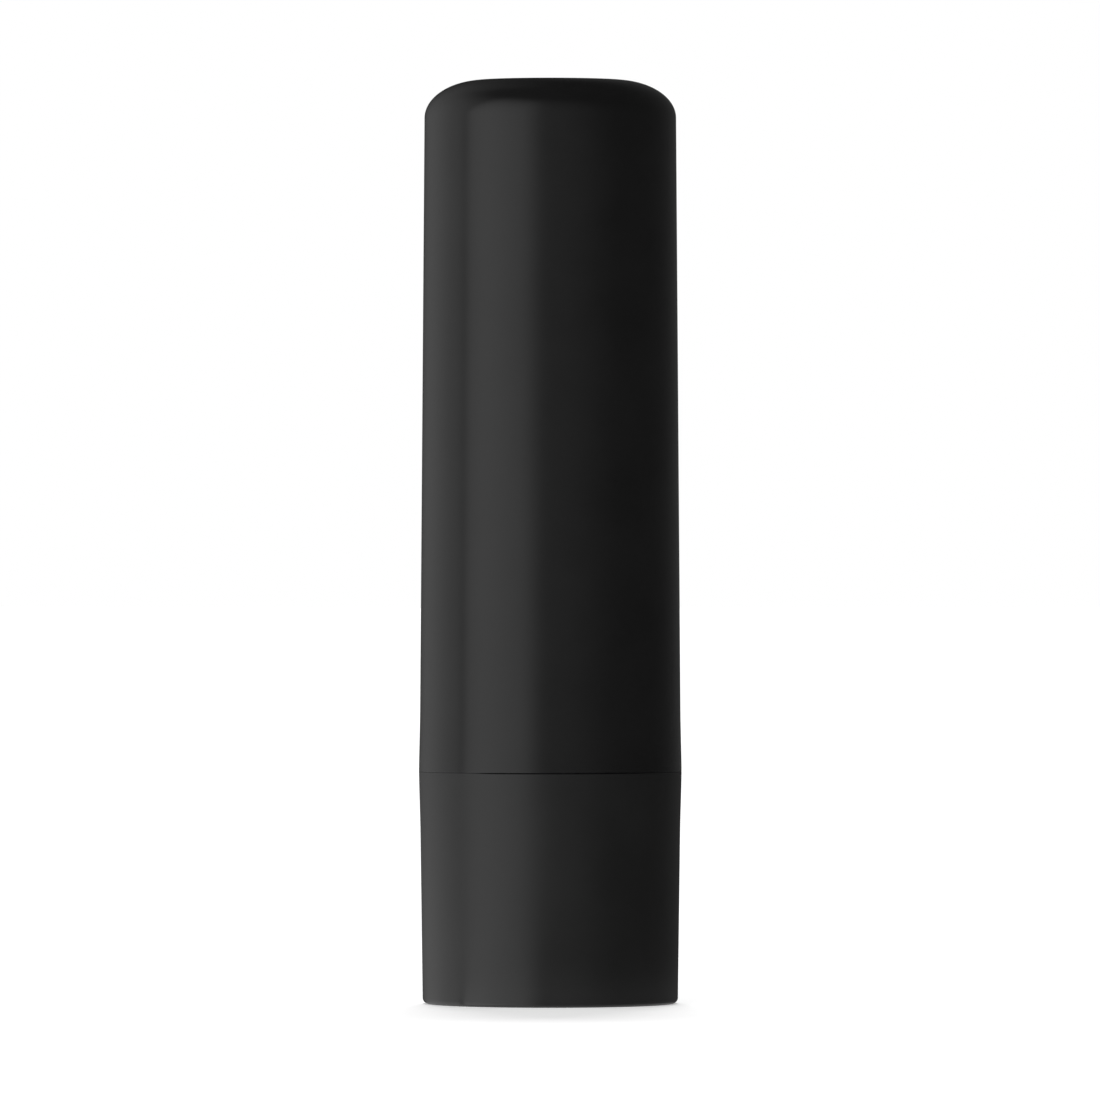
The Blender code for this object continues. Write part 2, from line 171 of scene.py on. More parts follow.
class NodeTree:
    """A shader or geometry node tree, with one method that makes every node."""

    def __init__(self, tree: bpy.types.NodeTree) -> None:
        """Starts on the tree, emptied."""
        self.tree = tree
        tree.nodes.clear()

    def node(self, kind: str, settings: dict | None = None, sockets: dict | None = None) -> bpy.types.Node:
        """Makes one node.

        Args:
            kind: The node's type.
            settings: Properties of the node by name, set before its sockets.
            sockets: Values, output sockets or constants, by the name or number of the input.

        Returns:
            The new node.
        """
        row, column = divmod(len(self.tree.nodes), NODES_A_ROW)
        made = self.tree.nodes.new(kind)
        made.location = (column * NODE_SPACING[0], -row * NODE_SPACING[1])
        for name, setting in (settings or {}).items():
            setattr(made, name, setting)
        for key, given in (sockets or {}).items():
            source = given.socket if isinstance(given, Value) else given
            if isinstance(source, Socket):
                self.tree.links.new(source, made.inputs[key])
            else:
                made.inputs[key].default_value = source
        return made

    def value(self, kind: str, settings: dict | None = None, sockets: dict | None = None) -> Value:
        """Makes a node and returns its first output as a value."""
        return Value(self, self.node(kind, settings, sockets).outputs[0])

    def math(self, operation: str, *operands: Number) -> Value:
        """Makes a Math node of an operation on values or numbers and returns its result."""
        return self.value("ShaderNodeMath", {"operation": operation}, dict(enumerate(operands)))

    def parts(self, place: Socket) -> tuple[Value, ...]:
        """Returns the X, Y and Z of a place."""
        split = self.node("ShaderNodeSeparateXYZ", sockets={0: place})
        return tuple(Value(self, output) for output in split.outputs)

    def polar(self, place: Socket) -> tuple[Value, Value, Value]:
        """Returns a place's distance from the stick's axis, its angle in radians and its height."""
        x, y, height = self.parts(place)
        return (x * x + y * y).root(), self.math("ARCTAN2", y, x), height


class ShapeTree(NodeTree):
    """A Geometry Nodes tree whose named inputs are the fields of a dataclass."""

    def __init__(self, name: str, sizes: type) -> None:
        """Starts a tree.

        Args:
            name: The tree's name.
            sizes: The dataclass of its sizes, with their usual values.
        """
        super().__init__(bpy.data.node_groups.new(name, "GeometryNodeTree"))
        face = self.tree.interface
        face.new_socket("Geometry", in_out="INPUT", socket_type="NodeSocketGeometry")
        face.new_socket("Material", in_out="INPUT", socket_type="NodeSocketMaterial")
        face.new_socket("Geometry", in_out="OUTPUT", socket_type="NodeSocketGeometry")
        for size in fields(sizes):
            made = face.new_socket(size.name, in_out="INPUT", socket_type="NodeSocketFloat")
            made.default_value = size.default
        self.start = self.node("NodeGroupInput")
        self.sizes = [Value(self, self.start.outputs[size.name]) for size in fields(sizes)]
        inputs = [item for item in face.items_tree if item.in_out == "INPUT"]
        self.identifiers = {item.name: item.identifier for item in inputs}

    @property
    def geometry(self) -> Socket:
        """The geometry that comes in."""
        return self.start.outputs["Geometry"]

    def where(self) -> tuple[Value, Value, Value]:
        """Returns each point's distance from the axis, angle and height."""
        return self.polar(self.node("GeometryNodeInputPosition").outputs[0])

    def end_turned(self, radius: Value, angle: Value, height: Value) -> None:
        """Moves every point that comes in to a new distance from the axis, and ends the tree.

        Args:
            radius: The new distance.
            angle: The point's angle, in radians.
            height: The point's height.
        """
        axes = {0: radius * angle.cosine(), 1: radius * angle.sine(), 2: height}
        place = self.node("ShaderNodeCombineXYZ", sockets=axes)
        sockets = {"Geometry": self.geometry, "Position": place.outputs[0]}
        self.end(self.node("GeometryNodeSetPosition", sockets=sockets).outputs[0])

    def end(self, geometry: Socket) -> None:
        """Ends the tree in Realize Instances and Set Material.

        Args:
            geometry: The shaped geometry.
        """
        real = self.node("GeometryNodeRealizeInstances", sockets={0: geometry})
        sockets = {"Geometry": real.outputs[0], "Material": self.start.outputs["Material"]}
        dressed = self.node("GeometryNodeSetMaterial", sockets=sockets)
        self.node("NodeGroupOutput", sockets={0: dressed.outputs[0]})


# Geometry Nodes trees, and the sizes that they take


@dataclass(frozen=True)
class Spokes:
    """Equal tracks, notches, ribs or teeth that are pressed into a turned piece.

    Points nearer to a spoke's middle line than half its width, between two heights and in a band of
    radii, move in to the pressed radius.
    """

    count: int = 4
    width: float = 0.001
    edge: float = 0.0001
    foot: float = 0.0
    top: float = 0.01
    ease: float = EDGE
    band_inside: float = 0.0
    band_outside: float = 0.01
    pressed_radius: float = 0.005

    def pressed(self, reach: Point, band: Point, radius: float, ease: float = EDGE) -> "Spokes":
        """Returns the spokes between two heights and two radii, pressed in to a radius."""
        return Spokes(self.count, self.width, self.edge, *reach, ease, *band, radius)

    def angles(self, steps: int, radius: float) -> list[float]:
        """Lists a piece's meridians, closer together at the two edges of each spoke.

        Args:
            steps: Even steps around the whole turn, a multiple of the spokes' count.
            radius: The distance from the axis at which the spokes have their width.

        Returns:
            The angles, from 0 up, in radians.
        """
        edge_steps, edge_room, nearest_share = 6, 1.6, 0.35
        half = math.asin(self.width / 2 / radius)
        spread = edge_room * self.edge / radius
        near = [half + spread * (step / edge_steps - 0.5) for step in range(edge_steps + 1)]
        sector = math.tau / self.count
        edges = near + [sector - place for place in near]
        gap = math.tau / steps * nearest_share
        even = [math.tau * step / steps for step in range(steps // self.count)]
        kept = [offset for offset in even if all(abs(offset - place) > gap for place in edges)]
        return sorted(index * sector + offset for index in range(self.count) for offset in kept + edges)


@dataclass(frozen=True)
class ScrewThread:
    """The left-hand thread of the post, and of the nut that runs on it with a clearance."""

    lead: float = 0.003
    core_radius: float = 0.0019
    depth: float = 0.0007
    crest: float = 0.0007
    flank: float = 0.0004
    foot: float = 0.0
    top: float = 0.03
    runout: float = 0.0006
    band_outside: float = 0.003
    clearance: ClassVar[float] = 0.00013
    level_step: ClassVar[float] = 0.00008

    def cut(self, reach: Point, runout: float, loose: float = 0.0) -> "ScrewThread":
        """Returns the thread between two heights, with its runout and widened by a clearance."""
        core, crest = self.core_radius + loose, self.crest + 2 * loose
        return ScrewThread(self.lead, core, self.depth, crest, self.flank, *reach, runout, core + EDGE / 2)


@dataclass(frozen=True)
class RoundSection:
    """The round section that a ring is swept with."""

    radius: float = 0.0004
    sides: int = 24


Sizes = Spokes | ScrewThread | RoundSection


def spokes_tree() -> ShapeTree:
    """Makes the tree that presses spokes into a turned shape.

    Returns:
        The tree.
    """
    tree = ShapeTree("pressed_spokes", Spokes)
    count, width, edge, foot, top, ease, inside, outside, pressed = tree.sizes
    radius, angle, height = tree.where()
    sector = (angle * count / math.tau).wrapped() * math.tau / count
    aside = abs(radius * sector.sine())
    half, edge, ease = width / 2, edge / 2, ease / 2
    mask = aside.step(half + edge, half - edge) * radius.above(inside) * radius.below(outside)
    mask = mask * height.step(foot - ease, foot + ease) * height.step(top + ease, top - ease)
    tree.end_turned(mask.mixed(radius, radius.least(pressed)), angle, height)
    return tree


def thread_tree() -> ShapeTree:
    """Makes the tree that raises a thread on a plain post or in a plain bore.

    Returns:
        The tree.
    """
    tree = ShapeTree("screw_thread", ScrewThread)
    lead, core, depth, crest, flank, foot, top, runout, outside = tree.sizes
    radius, angle, height = tree.where()
    off_crest = abs((height / lead + angle / math.tau).wrapped()) * lead
    ridge = off_crest.step(crest / 2 + flank, crest / 2)
    ridge = ridge * height.step(foot, foot + runout) * height.step(top, top - runout)
    inside = radius.below(outside) * height.above(foot) * height.below(top)
    tree.end_turned(inside.mixed(radius, core + depth * ridge), angle, height)
    return tree


def ring_tree() -> ShapeTree:
    """Makes the tree that sweeps a round section along the incoming closed curve.

    Returns:
        The tree.
    """
    tree = ShapeTree("swept_ring", RoundSection)
    radius, sides = tree.sizes
    section = tree.node("GeometryNodeCurvePrimitiveCircle", sockets={"Resolution": sides, "Radius": radius})
    path = tree.node("GeometryNodeMeshToCurve", sockets={"Mesh": tree.geometry})
    sockets = {"Curve": path.outputs[0], "Profile Curve": section.outputs[0]}
    tree.end(tree.node("GeometryNodeCurveToMesh", sockets=sockets).outputs[0])
    return tree


# Profiles and turned meshes


def oval(centre: Point, half_sizes: Point, start: float, end: float, steps: int) -> list[Point]:
    """Makes points on part of an oval.

    Args:
        centre: The oval's centre as (radius, height).
        half_sizes: Its half width and half height.
        start: The first angle, in radians.
        end: The last angle.
        steps: The number of steps between them.

    Returns:
        The points as (radius, height).
    """
    angles = [start + (end - start) * step / steps for step in range(steps + 1)]
    return [
        (centre[0] + half_sizes[0] * math.cos(angle), centre[1] + half_sizes[1] * math.sin(angle))
        for angle in angles
    ]


def rounded(corners: Sequence[Corner], steps: int = 5) -> list[Point]:
    """Rounds the corners of a profile between its first and its last point.

    Args:
        corners: (radius, height, rounding) for each corner, in order.
        steps: Steps along each rounding.

    Returns:
        The rounded profile.
    """
    room = 0.48
    points: list[Point] = []
    for index, (radius, height, rounding) in enumerate(corners):
        if rounding == 0 or index in (0, len(corners) - 1):
            points.append((radius, height))
            continue
        corner = Vector((radius, height))
        before = Vector(corners[index - 1][:2]) - corner
        after = Vector(corners[index + 1][:2]) - corner
        half_angle = before.angle(after) / 2
        reach = min(rounding / math.tan(half_angle), before.length * room, after.length * room)
        middle = (before.normalized() + after.normalized()).normalized()
        centre = corner + middle * reach / math.cos(half_angle)
        first = corner + before.normalized() * reach - centre
        last = corner + after.normalized() * reach - centre
        turn = first.angle_signed(last)
        spokes = [Matrix.Rotation(-turn * step / steps, 2) @ first for step in range(steps + 1)]
        points += [tuple(centre + spoke) for spoke in spokes]
    return points


def snap_bead(wall: Wall, crest: float, foot: float, height: float, steps: int = 14) -> list[Point]:
    """Makes a rounded snap bead on a wall, with a flat crest.

    Args:
        wall: The wall's radius at a height.
        crest: The radius at the bead's crest.
        foot: The bead's lowest height.
        height: How tall the bead is.
        steps: Steps over the bead.

    Returns:
        The points, from the foot up.
    """
    crest_flatness = 1.25
    points = []
    for step in range(steps + 1):
        level = foot + height * step / steps
        rise = min(1.0, crest_flatness * math.sin(math.pi * step / steps) ** 2)
        points.append((wall(level) + (crest - wall(level)) * rise, level))
    return points


def straight(radius: float) -> Wall:
    """Returns a wall that has one radius at every height."""
    return lambda height: radius


def levels(wall: Wall, low: float, high: float, spacing: float) -> list[Point]:
    """Makes evenly spaced points on a wall, both ends included.

    Args:
        wall: The wall's radius at a height.
        low: The first height. It may be the greater one.
        high: The last height.
        spacing: The greatest distance between two points.

    Returns:
        The points, in order.
    """
    steps = max(1, math.ceil(abs(high - low) / spacing))
    heights = [low + (high - low) * step / steps for step in range(steps + 1)]
    return [(wall(height), height) for height in heights]


def gate_mark(level: float, depth: float, radius: float = 0.002, nub: float = 0.0005) -> list[Corner]:
    """Makes the shallow pocket that a mould's gate leaves in a face, with the cut sprue's nub in it.

    Args:
        level: The face's height.
        depth: How far the pocket goes up from it.
        radius: The pocket's radius.
        nub: The nub's radius.

    Returns:
        The corners, from the pocket's edge to the axis.
    """
    return [
        (radius + 2 * EDGE, level, 0),
        (radius, level + depth, EDGE / 2),
        (nub, level + depth, EDGE / 2),
        (nub - EDGE, level + EDGE / 2, EDGE / 2),
        (0, level + EDGE / 2, 0),
    ]


def eased(value: float, low: float, high: float) -> float:
    """Returns a smooth rise from 0 to 1 between two values, of which low may be the greater."""
    share = min(1.0, max(0.0, (value - low) / (high - low)))
    return share * share * (3 - 2 * share)


def corner_on(wall: Wall, height: float, rounding: float = 0.0) -> Corner:
    """Returns the corner of a profile on a wall, at a height."""
    return wall(height), height, rounding


def even_angles(steps: int) -> list[float]:
    """Returns equally spaced angles around the axis, in radians."""
    return [math.tau * step / steps for step in range(steps)]


def turned_mesh(profile: Sequence[Point], angles: Sequence[float], closed: bool = False) -> Mesh:
    """Turns a profile around the axis.

    Args:
        profile: Points as (radius, height). A point on the axis becomes one vertex.
        angles: The angles of the mesh's meridians.
        closed: Whether the profile's last point is joined to its first.

    Returns:
        A closed mesh with outward faces.
    """
    points: list[Corner] = []
    rings: list[list[int]] = []
    for radius, height in profile:
        if radius < MERGE_DISTANCE:
            rings.append([len(points)] * len(angles))
            points.append((0.0, 0.0, height))
        else:
            rings.append(list(range(len(points), len(points) + len(angles))))
            points += [(radius * math.cos(angle), radius * math.sin(angle), height) for angle in angles]
    faces = []
    for upper, lower in zip(rings, rings[1:] + rings[:1] if closed else rings[1:]):
        for index in range(len(angles)):
            following = (index + 1) % len(angles)
            loop = [upper[index], upper[following], lower[following], lower[index]]
            corners = [corner for place, corner in enumerate(loop) if corner != loop[place - 1]]
            if len(corners) > 2:
                faces.append(corners)
    mesh = bpy.data.meshes.new("turned")
    mesh.from_pydata(points, [], faces)
    shape = bmesh.new()
    shape.from_mesh(mesh)
    bmesh.ops.remove_doubles(shape, verts=shape.verts, dist=MERGE_DISTANCE)
    bmesh.ops.recalc_face_normals(shape, faces=shape.faces)
    shape.to_mesh(mesh)
    shape.free()
    return mesh


def placed(name: str, data: bpy.types.ID) -> bpy.types.Object:
    """Puts a mesh, a lamp or a camera into the scene.

    Args:
        name: The object's name.
        data: What the object shows.

    Returns:
        The object.
    """
    made = bpy.data.objects.new(name, data)
    bpy.context.scene.collection.objects.link(made)
    return made


# Finishes


def made_material(name: str, shader: Callable[[NodeTree], Value]) -> bpy.types.Material:
    """Makes a material.

    Args:
        name: Its name.
        shader: Fills its empty tree and returns the surface shader.

    Returns:
        The material.
    """
    made = bpy.data.materials.new(name)
    made.use_nodes = True
    tree = NodeTree(made.node_tree)
    tree.node("ShaderNodeOutputMaterial", sockets={"Surface": shader(tree)})
    return made


@dataclass(frozen=True)
class Depth:
    """How much light comes out beside its place, how far red, green and blue go, and their scale."""

    weight: float = 0.0
    radius: Colour = (1.0, 0.95, 0.85)
    scale: float = 0.0009

    def sockets(self) -> dict[str, float | Colour]:
        """Returns the shader's sockets and their values."""
        return {f"Subsurface {name.title()}": value for name, value in asdict(self).items()}


@dataclass(frozen=True)
class Finish:
    """A material that is made once and then shared."""

    name: str
    colour: Colour
    roughness: float

    def dress(self, tree: NodeTree) -> Value:
        """Fills the material's empty tree and returns the surface shader."""
        raise NotImplementedError

    def material(self) -> bpy.types.Material:
        """Returns the finish as a material, which the first call makes."""
        return bpy.data.materials.get(self.name) or made_material(self.name, self.dress)

    def varied(self, tree: NodeTree, spread: float, share: Value) -> Socket:
        """Returns the colour, from darker to lighter by a spread where the share goes from 0 to 1."""
        return tinted(tree, shade(self.colour, 1 - spread), shade(self.colour, 1 + spread), share)


def noise(tree: NodeTree, size: float, detail: float = 2, stretch: Colour = (1, 1, 1)) -> Value:
    """Makes noise on the piece's own coordinates, from 0 to 1 and about 0.5 on average.

    Args:
        tree: The shader tree.
        size: The size of its patches.
        detail: The number of finer layers.
        stretch: How much longer the patches are along X, Y and Z.

    Returns:
        The noise.
    """
    place = tree.node("ShaderNodeTexCoord").outputs["Object"]
    scale = tuple(1 / (size * length) for length in stretch)
    mapped = tree.node("ShaderNodeMapping", {"vector_type": "POINT"}, {"Vector": place, "Scale": scale})
    sockets = {"Vector": mapped.outputs[0], "Scale": 1.0, "Detail": detail}
    return tree.value("ShaderNodeTexNoise", sockets=sockets)


def tinted(tree: NodeTree, colour: Colour, other: Colour, share: Value) -> Socket:
    """Returns the mix of two colours, by the other one's share."""
    sockets = dict(zip(MIX_INPUTS, (share, (*colour, 1.0), (*other, 1.0))))
    return tree.node("ShaderNodeMix", {"data_type": "RGBA"}, sockets).outputs[MIX_RESULT]


def shade(colour: Colour, factor: float) -> Colour:
    """Returns a colour made lighter or darker by a factor."""
    return tuple(part * factor for part in colour)


def surface(tree: NodeTree, colour: Socket, roughness: Value, relief: Value, depth: Depth) -> Value:
    """Makes a surface shader with a fine relief.

    Args:
        tree: The shader tree.
        colour: The base colour.
        roughness: The roughness.
        relief: The height of the relief, in metres.
        depth: How light gets into the surface.

    Returns:
        The shader.
    """
    bump = tree.node("ShaderNodeBump", sockets={"Height": relief, "Distance": 1.0, "Strength": 1.0})
    sockets = {"Base Color": colour, "Roughness": roughness, "Normal": bump.outputs[0]}
    return tree.value("ShaderNodeBsdfPrincipled", sockets=sockets | depth.sockets())


@dataclass(frozen=True)
class MouldedPlastic(Finish):
    """An injection-moulded plastic with a fine polished-tool grain."""

    unevenness: float = 0.1
    gloss_spread: float = 0.03
    cloud_size: float = 0.006
    cloud_fade: Point = (0.3, 0.7)
    grain_size: float = 0.00022
    grain_depth: float = 0.0000007
    line_size: float = 0.00028
    line_stretch: float = 60
    line_depth: float = 0.0
    sink_count: int = 0
    sink_depth: float = 0.0
    sink_half_width: float = 0.07
    depth: Depth = Depth()

    def dress(self, tree: NodeTree) -> Value:
        """Fills the tree: cloudy colour and gloss, a fine grain, faint draw lines and sink marks.

        Args:
            tree: The material's empty tree.

        Returns:
            The surface shader.
        """
        cloud = noise(tree, self.cloud_size, detail=3)
        grain = noise(tree, self.grain_size)
        lines = noise(tree, self.line_size, stretch=(1, 1, self.line_stretch))
        colour = self.varied(tree, self.unevenness, cloud.step(*self.cloud_fade))
        gloss = self.roughness + (cloud + grain - 1) * self.gloss_spread
        relief = grain * self.grain_depth + lines * self.line_depth
        if self.sink_count:
            relief = relief - self.sink_marks(tree) * self.sink_depth
        return surface(tree, colour, gloss, relief, self.depth)

    def sink_marks(self, tree: NodeTree) -> Value:
        """Returns the hollows, from 0 to 1, that ribs behind a wall leave on its face."""
        angle = tree.polar(tree.node("ShaderNodeTexCoord").outputs["Object"])[1]
        return abs((angle * (self.sink_count / math.tau)).wrapped()).step(self.sink_half_width, 0.0)


@dataclass(frozen=True)
class SoftRubber(Finish):
    """A matt moulded rubber with a little dust in its grain."""

    dustiness: float = 0.12
    dust_size: float = 0.0008
    dust_fade: Point = (0.35, 0.7)
    grain_size: float = 0.00012
    grain_depth: float = 0.000004

    def dress(self, tree: NodeTree) -> Value:
        """Fills the tree: a dusty colour over a fine open grain.

        Args:
            tree: The material's empty tree.

        Returns:
            The surface shader.
        """
        dust = noise(tree, self.dust_size, detail=4)
        grain = noise(tree, self.grain_size)
        colour = self.varied(tree, self.dustiness, dust.step(*self.dust_fade))
        gloss = self.roughness + (dust - 0.5) * self.dustiness
        return surface(tree, colour, gloss, grain * self.grain_depth, Depth())


@dataclass(frozen=True)
class CastWax(Finish):
    """A cast balm: a soft, slightly see-through wax with a cloudy bloom and fine pits."""

    bloom: Colour
    gloss_spread: float = 0.12
    cloud_size: float = 0.0036
    cloud_fade: Point = (0.3, 0.75)
    crystal_size: float = 0.0005
    crystal_fade: Point = (0.5, 0.8)
    crystal_share: float = 0.3
    pit_fade: Point = (0.66, 0.74)
    grain_size: float = 0.00014
    flow_size: float = 0.0011
    flow_stretch: Colour = (4, 4, 0.6)
    grain_depth: float = 0.000003
    flow_depth: float = 0.000008
    pit_depth: float = 0.00001
    depth: Depth = Depth(0.35, (1.0, 0.8, 0.5), 0.0012)

    def dress(self, tree: NodeTree) -> Value:
        """Fills the tree: cloudy bloom, tiny pits and the faint rings of cooling.

        Args:
            tree: The material's empty tree.

        Returns:
            The surface shader.
        """
        cloud = noise(tree, self.cloud_size, detail=3)
        crystals = noise(tree, self.crystal_size, detail=3)
        grain = noise(tree, self.grain_size)
        flow = noise(tree, self.flow_size, stretch=self.flow_stretch)
        crystal_bloom = crystals.step(*self.crystal_fade) * self.crystal_share
        share = cloud.step(*self.cloud_fade) * (1 - self.crystal_share) + crystal_bloom
        pits = crystals.step(*self.pit_fade)
        relief = grain * self.grain_depth + flow * self.flow_depth - pits * self.pit_depth
        gloss = self.roughness + (cloud - 0.5) * self.gloss_spread
        return surface(tree, tinted(tree, self.colour, self.bloom, share), gloss, relief, self.depth)


BLACK = (0.0085, 0.0085, 0.0085)
NATURAL_WHITE = (0.78, 0.77, 0.73)
MILKY = Depth(0.15)

CAP_PLASTIC = MouldedPlastic("satin_black_cap", BLACK, 0.24, line_depth=0.0000006)
BASE_PLASTIC = MouldedPlastic("satin_black_base", shade(BLACK, 1.5), 0.36, line_depth=0.0000006)
POST_PLASTIC = MouldedPlastic("natural_post", NATURAL_WHITE, 0.42, unevenness=0.02, depth=MILKY)
CARRIER_PLASTIC = MouldedPlastic("natural_carrier", NATURAL_WHITE, 0.42, unevenness=0.02, depth=MILKY)
BARREL_PLASTIC = MouldedPlastic(
    "natural_barrel",
    NATURAL_WHITE,
    0.34,
    unevenness=0.02,
    line_depth=0.0000012,
    sink_count=4,
    sink_depth=0.00002,
    depth=Depth(0.2),
)
RING_RUBBER = SoftRubber("grey_drag_ring", (0.42, 0.42, 0.41), 0.62)
BALM_WAX = CastWax("cream_balm", (0.85, 0.79, 0.65), 0.36, bloom=(0.89, 0.85, 0.745))


# The stick's pieces


class Body(Enum):
    """The bodies that the pieces move with."""

    BASE = "base"
    BARREL = "barrel"
    CARRIER = "carrier"
    CAP = "cap"


@dataclass(frozen=True)
class Span:
    """The room that a node of the frame takes up on the stick's axis."""

    foot: float
    top: float
    radius: float

    @classmethod
    def of(cls, node: str) -> "Span":
        """Returns a node's lowest height, highest height and radius in the frame."""
        low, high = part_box(node)
        return cls(low[2], high[2], high[1])


def spanning(node: str) -> Any:
    """Returns a dataclass field that holds a node's span."""
    return field(default_factory=partial(Span.of, node))


@dataclass(frozen=True)
class StickOutline:
    """The closed stick's outside, and the gaps that its pieces keep.

    The seam is finer than between the solids: the mouths of the base and the cap nearly meet, between two
    rounded edges, and a land inside keeps light from showing through. It is tighter at the stick's sides.
    """

    base: Span = spanning("base_shell")
    cap: Span = spanning("cap_shell")
    seam_gap: float = 0.00002
    seam_ease: float = 0.0001
    seam_room: float = 0.00013
    tight_left: Point = (-0.0036, -0.0062)
    tight_right: Point = (0.005, 0.009)
    land_inset: float = 0.00022
    land_gap: float = 0.00001
    base_taper: float = 0.00027
    cap_taper: float = 0.0004
    seam_flare: float = 0.00005
    flare_length: float = 0.0045
    crown_drop: float = 0.00275
    crown_inset: float = 0.0043
    wall: float = 0.0011
    seat_gap: float = 0.0002

    @property
    def base_mouth(self) -> float:
        """The height of the base's mouth."""
        return self.base.top - self.seam_gap

    @property
    def cap_mouth(self) -> float:
        """The height of the cap's mouth."""
        return self.base_mouth + self.seam_gap

    @property
    def crown_start(self) -> float:
        """The height at which the cap starts to curve in."""
        return self.cap.top - self.crown_drop

    def skin(self, height: float) -> float:
        """Gives the outer radius, which tapers both ways from a slight flare at the seam.

        Args:
            height: The height on the stick.

        Returns:
            The radius there.
        """
        seam = self.base.radius - self.seam_flare
        if height < self.base_mouth:
            end = self.base.radius - self.base_taper
            share = 1 - height / self.base_mouth
        else:
            end = self.base.radius - self.cap_taper
            share = (height - self.base_mouth) / (self.crown_start - self.base_mouth)
        near = eased(abs(height - self.base_mouth), self.flare_length, 0)
        return seam + (end - seam) * share + self.seam_flare * near

    def bore(self, height: float) -> float:
        """Returns the inner radius of the base's or the cap's wall at a height."""
        return self.skin(height) - self.wall

    def tighten(self, mesh: Mesh) -> None:
        """Draws a mouth's rounded edge out to the skin at the sides, where the seam is tighter.

        Args:
            mesh: The turned cup or cap.
        """
        for vertex in mesh.vertices:
            x, y, height = vertex.co
            radius, skin = math.hypot(x, y), self.skin(height)
            if max(abs(height - self.base_mouth), skin - radius) < self.seam_room:
                tight = max(eased(x, *self.tight_left), eased(x, *self.tight_right))
                grown = 1 + (skin / radius - 1) * tight
                vertex.co = (x * grown, y * grown, height)


@dataclass
class SubAssembly:
    """Pieces that move together. A subclass gives its sizes and makes its pieces."""

    outline: StickOutline
    thread: ScrewThread
    trees: dict[type, ShapeTree]
    body: Body
    pieces: list[bpy.types.Object] = field(default_factory=list)

    def build(self) -> None:
        """Makes the sub-assembly's pieces."""
        raise NotImplementedError

    def add(self, name: str, mesh: Mesh, finish: Finish, node: str, slot: str, *sizes: Sizes) -> None:
        """Finishes one piece and fixes it to its body.

        Args:
            name: The piece's name.
            mesh: Its mesh, in place.
            finish: Its finish.
            node: The node of the frame that it stands for.
            slot: The record's material slot, which is not used.
            sizes: The sizes of the Geometry Nodes trees to run on it, in order.
        """
        piece = placed(name, mesh)
        if sizes:
            self.run_trees(piece, finish, sizes)
        shown = piece.data
        shown.name = name
        shown.materials.clear()
        shown.materials.append(finish.material())
        shown.shade_smooth()
        shown.set_sharp_from_angle(angle=SHARP_ANGLE)
        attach(piece, self.body.value)
        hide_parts(node)
        self.pieces.append(piece)

    def run_trees(self, piece: bpy.types.Object, finish: Finish, given: Sequence[Sizes]) -> None:
        """Runs Geometry Nodes on a piece and keeps the result as its plain mesh.

        Args:
            piece: The object to change.
            finish: The finish that the trees set.
            given: The sizes of each tree, in order.
        """
        for sizes in given:
            tree = self.trees[type(sizes)]
            modifier = piece.modifiers.new(tree.tree.name, "NODES")
            modifier.node_group = tree.tree
            modifier[tree.identifiers["Material"]] = finish.material()
            for size, value in asdict(sizes).items():
                modifier[tree.identifiers[size]] = float(value)
        graph = bpy.context.evaluated_depsgraph_get()
        made = bpy.data.meshes.new_from_object(piece.evaluated_get(graph))
        piece.modifiers.clear()
        piece.data = made


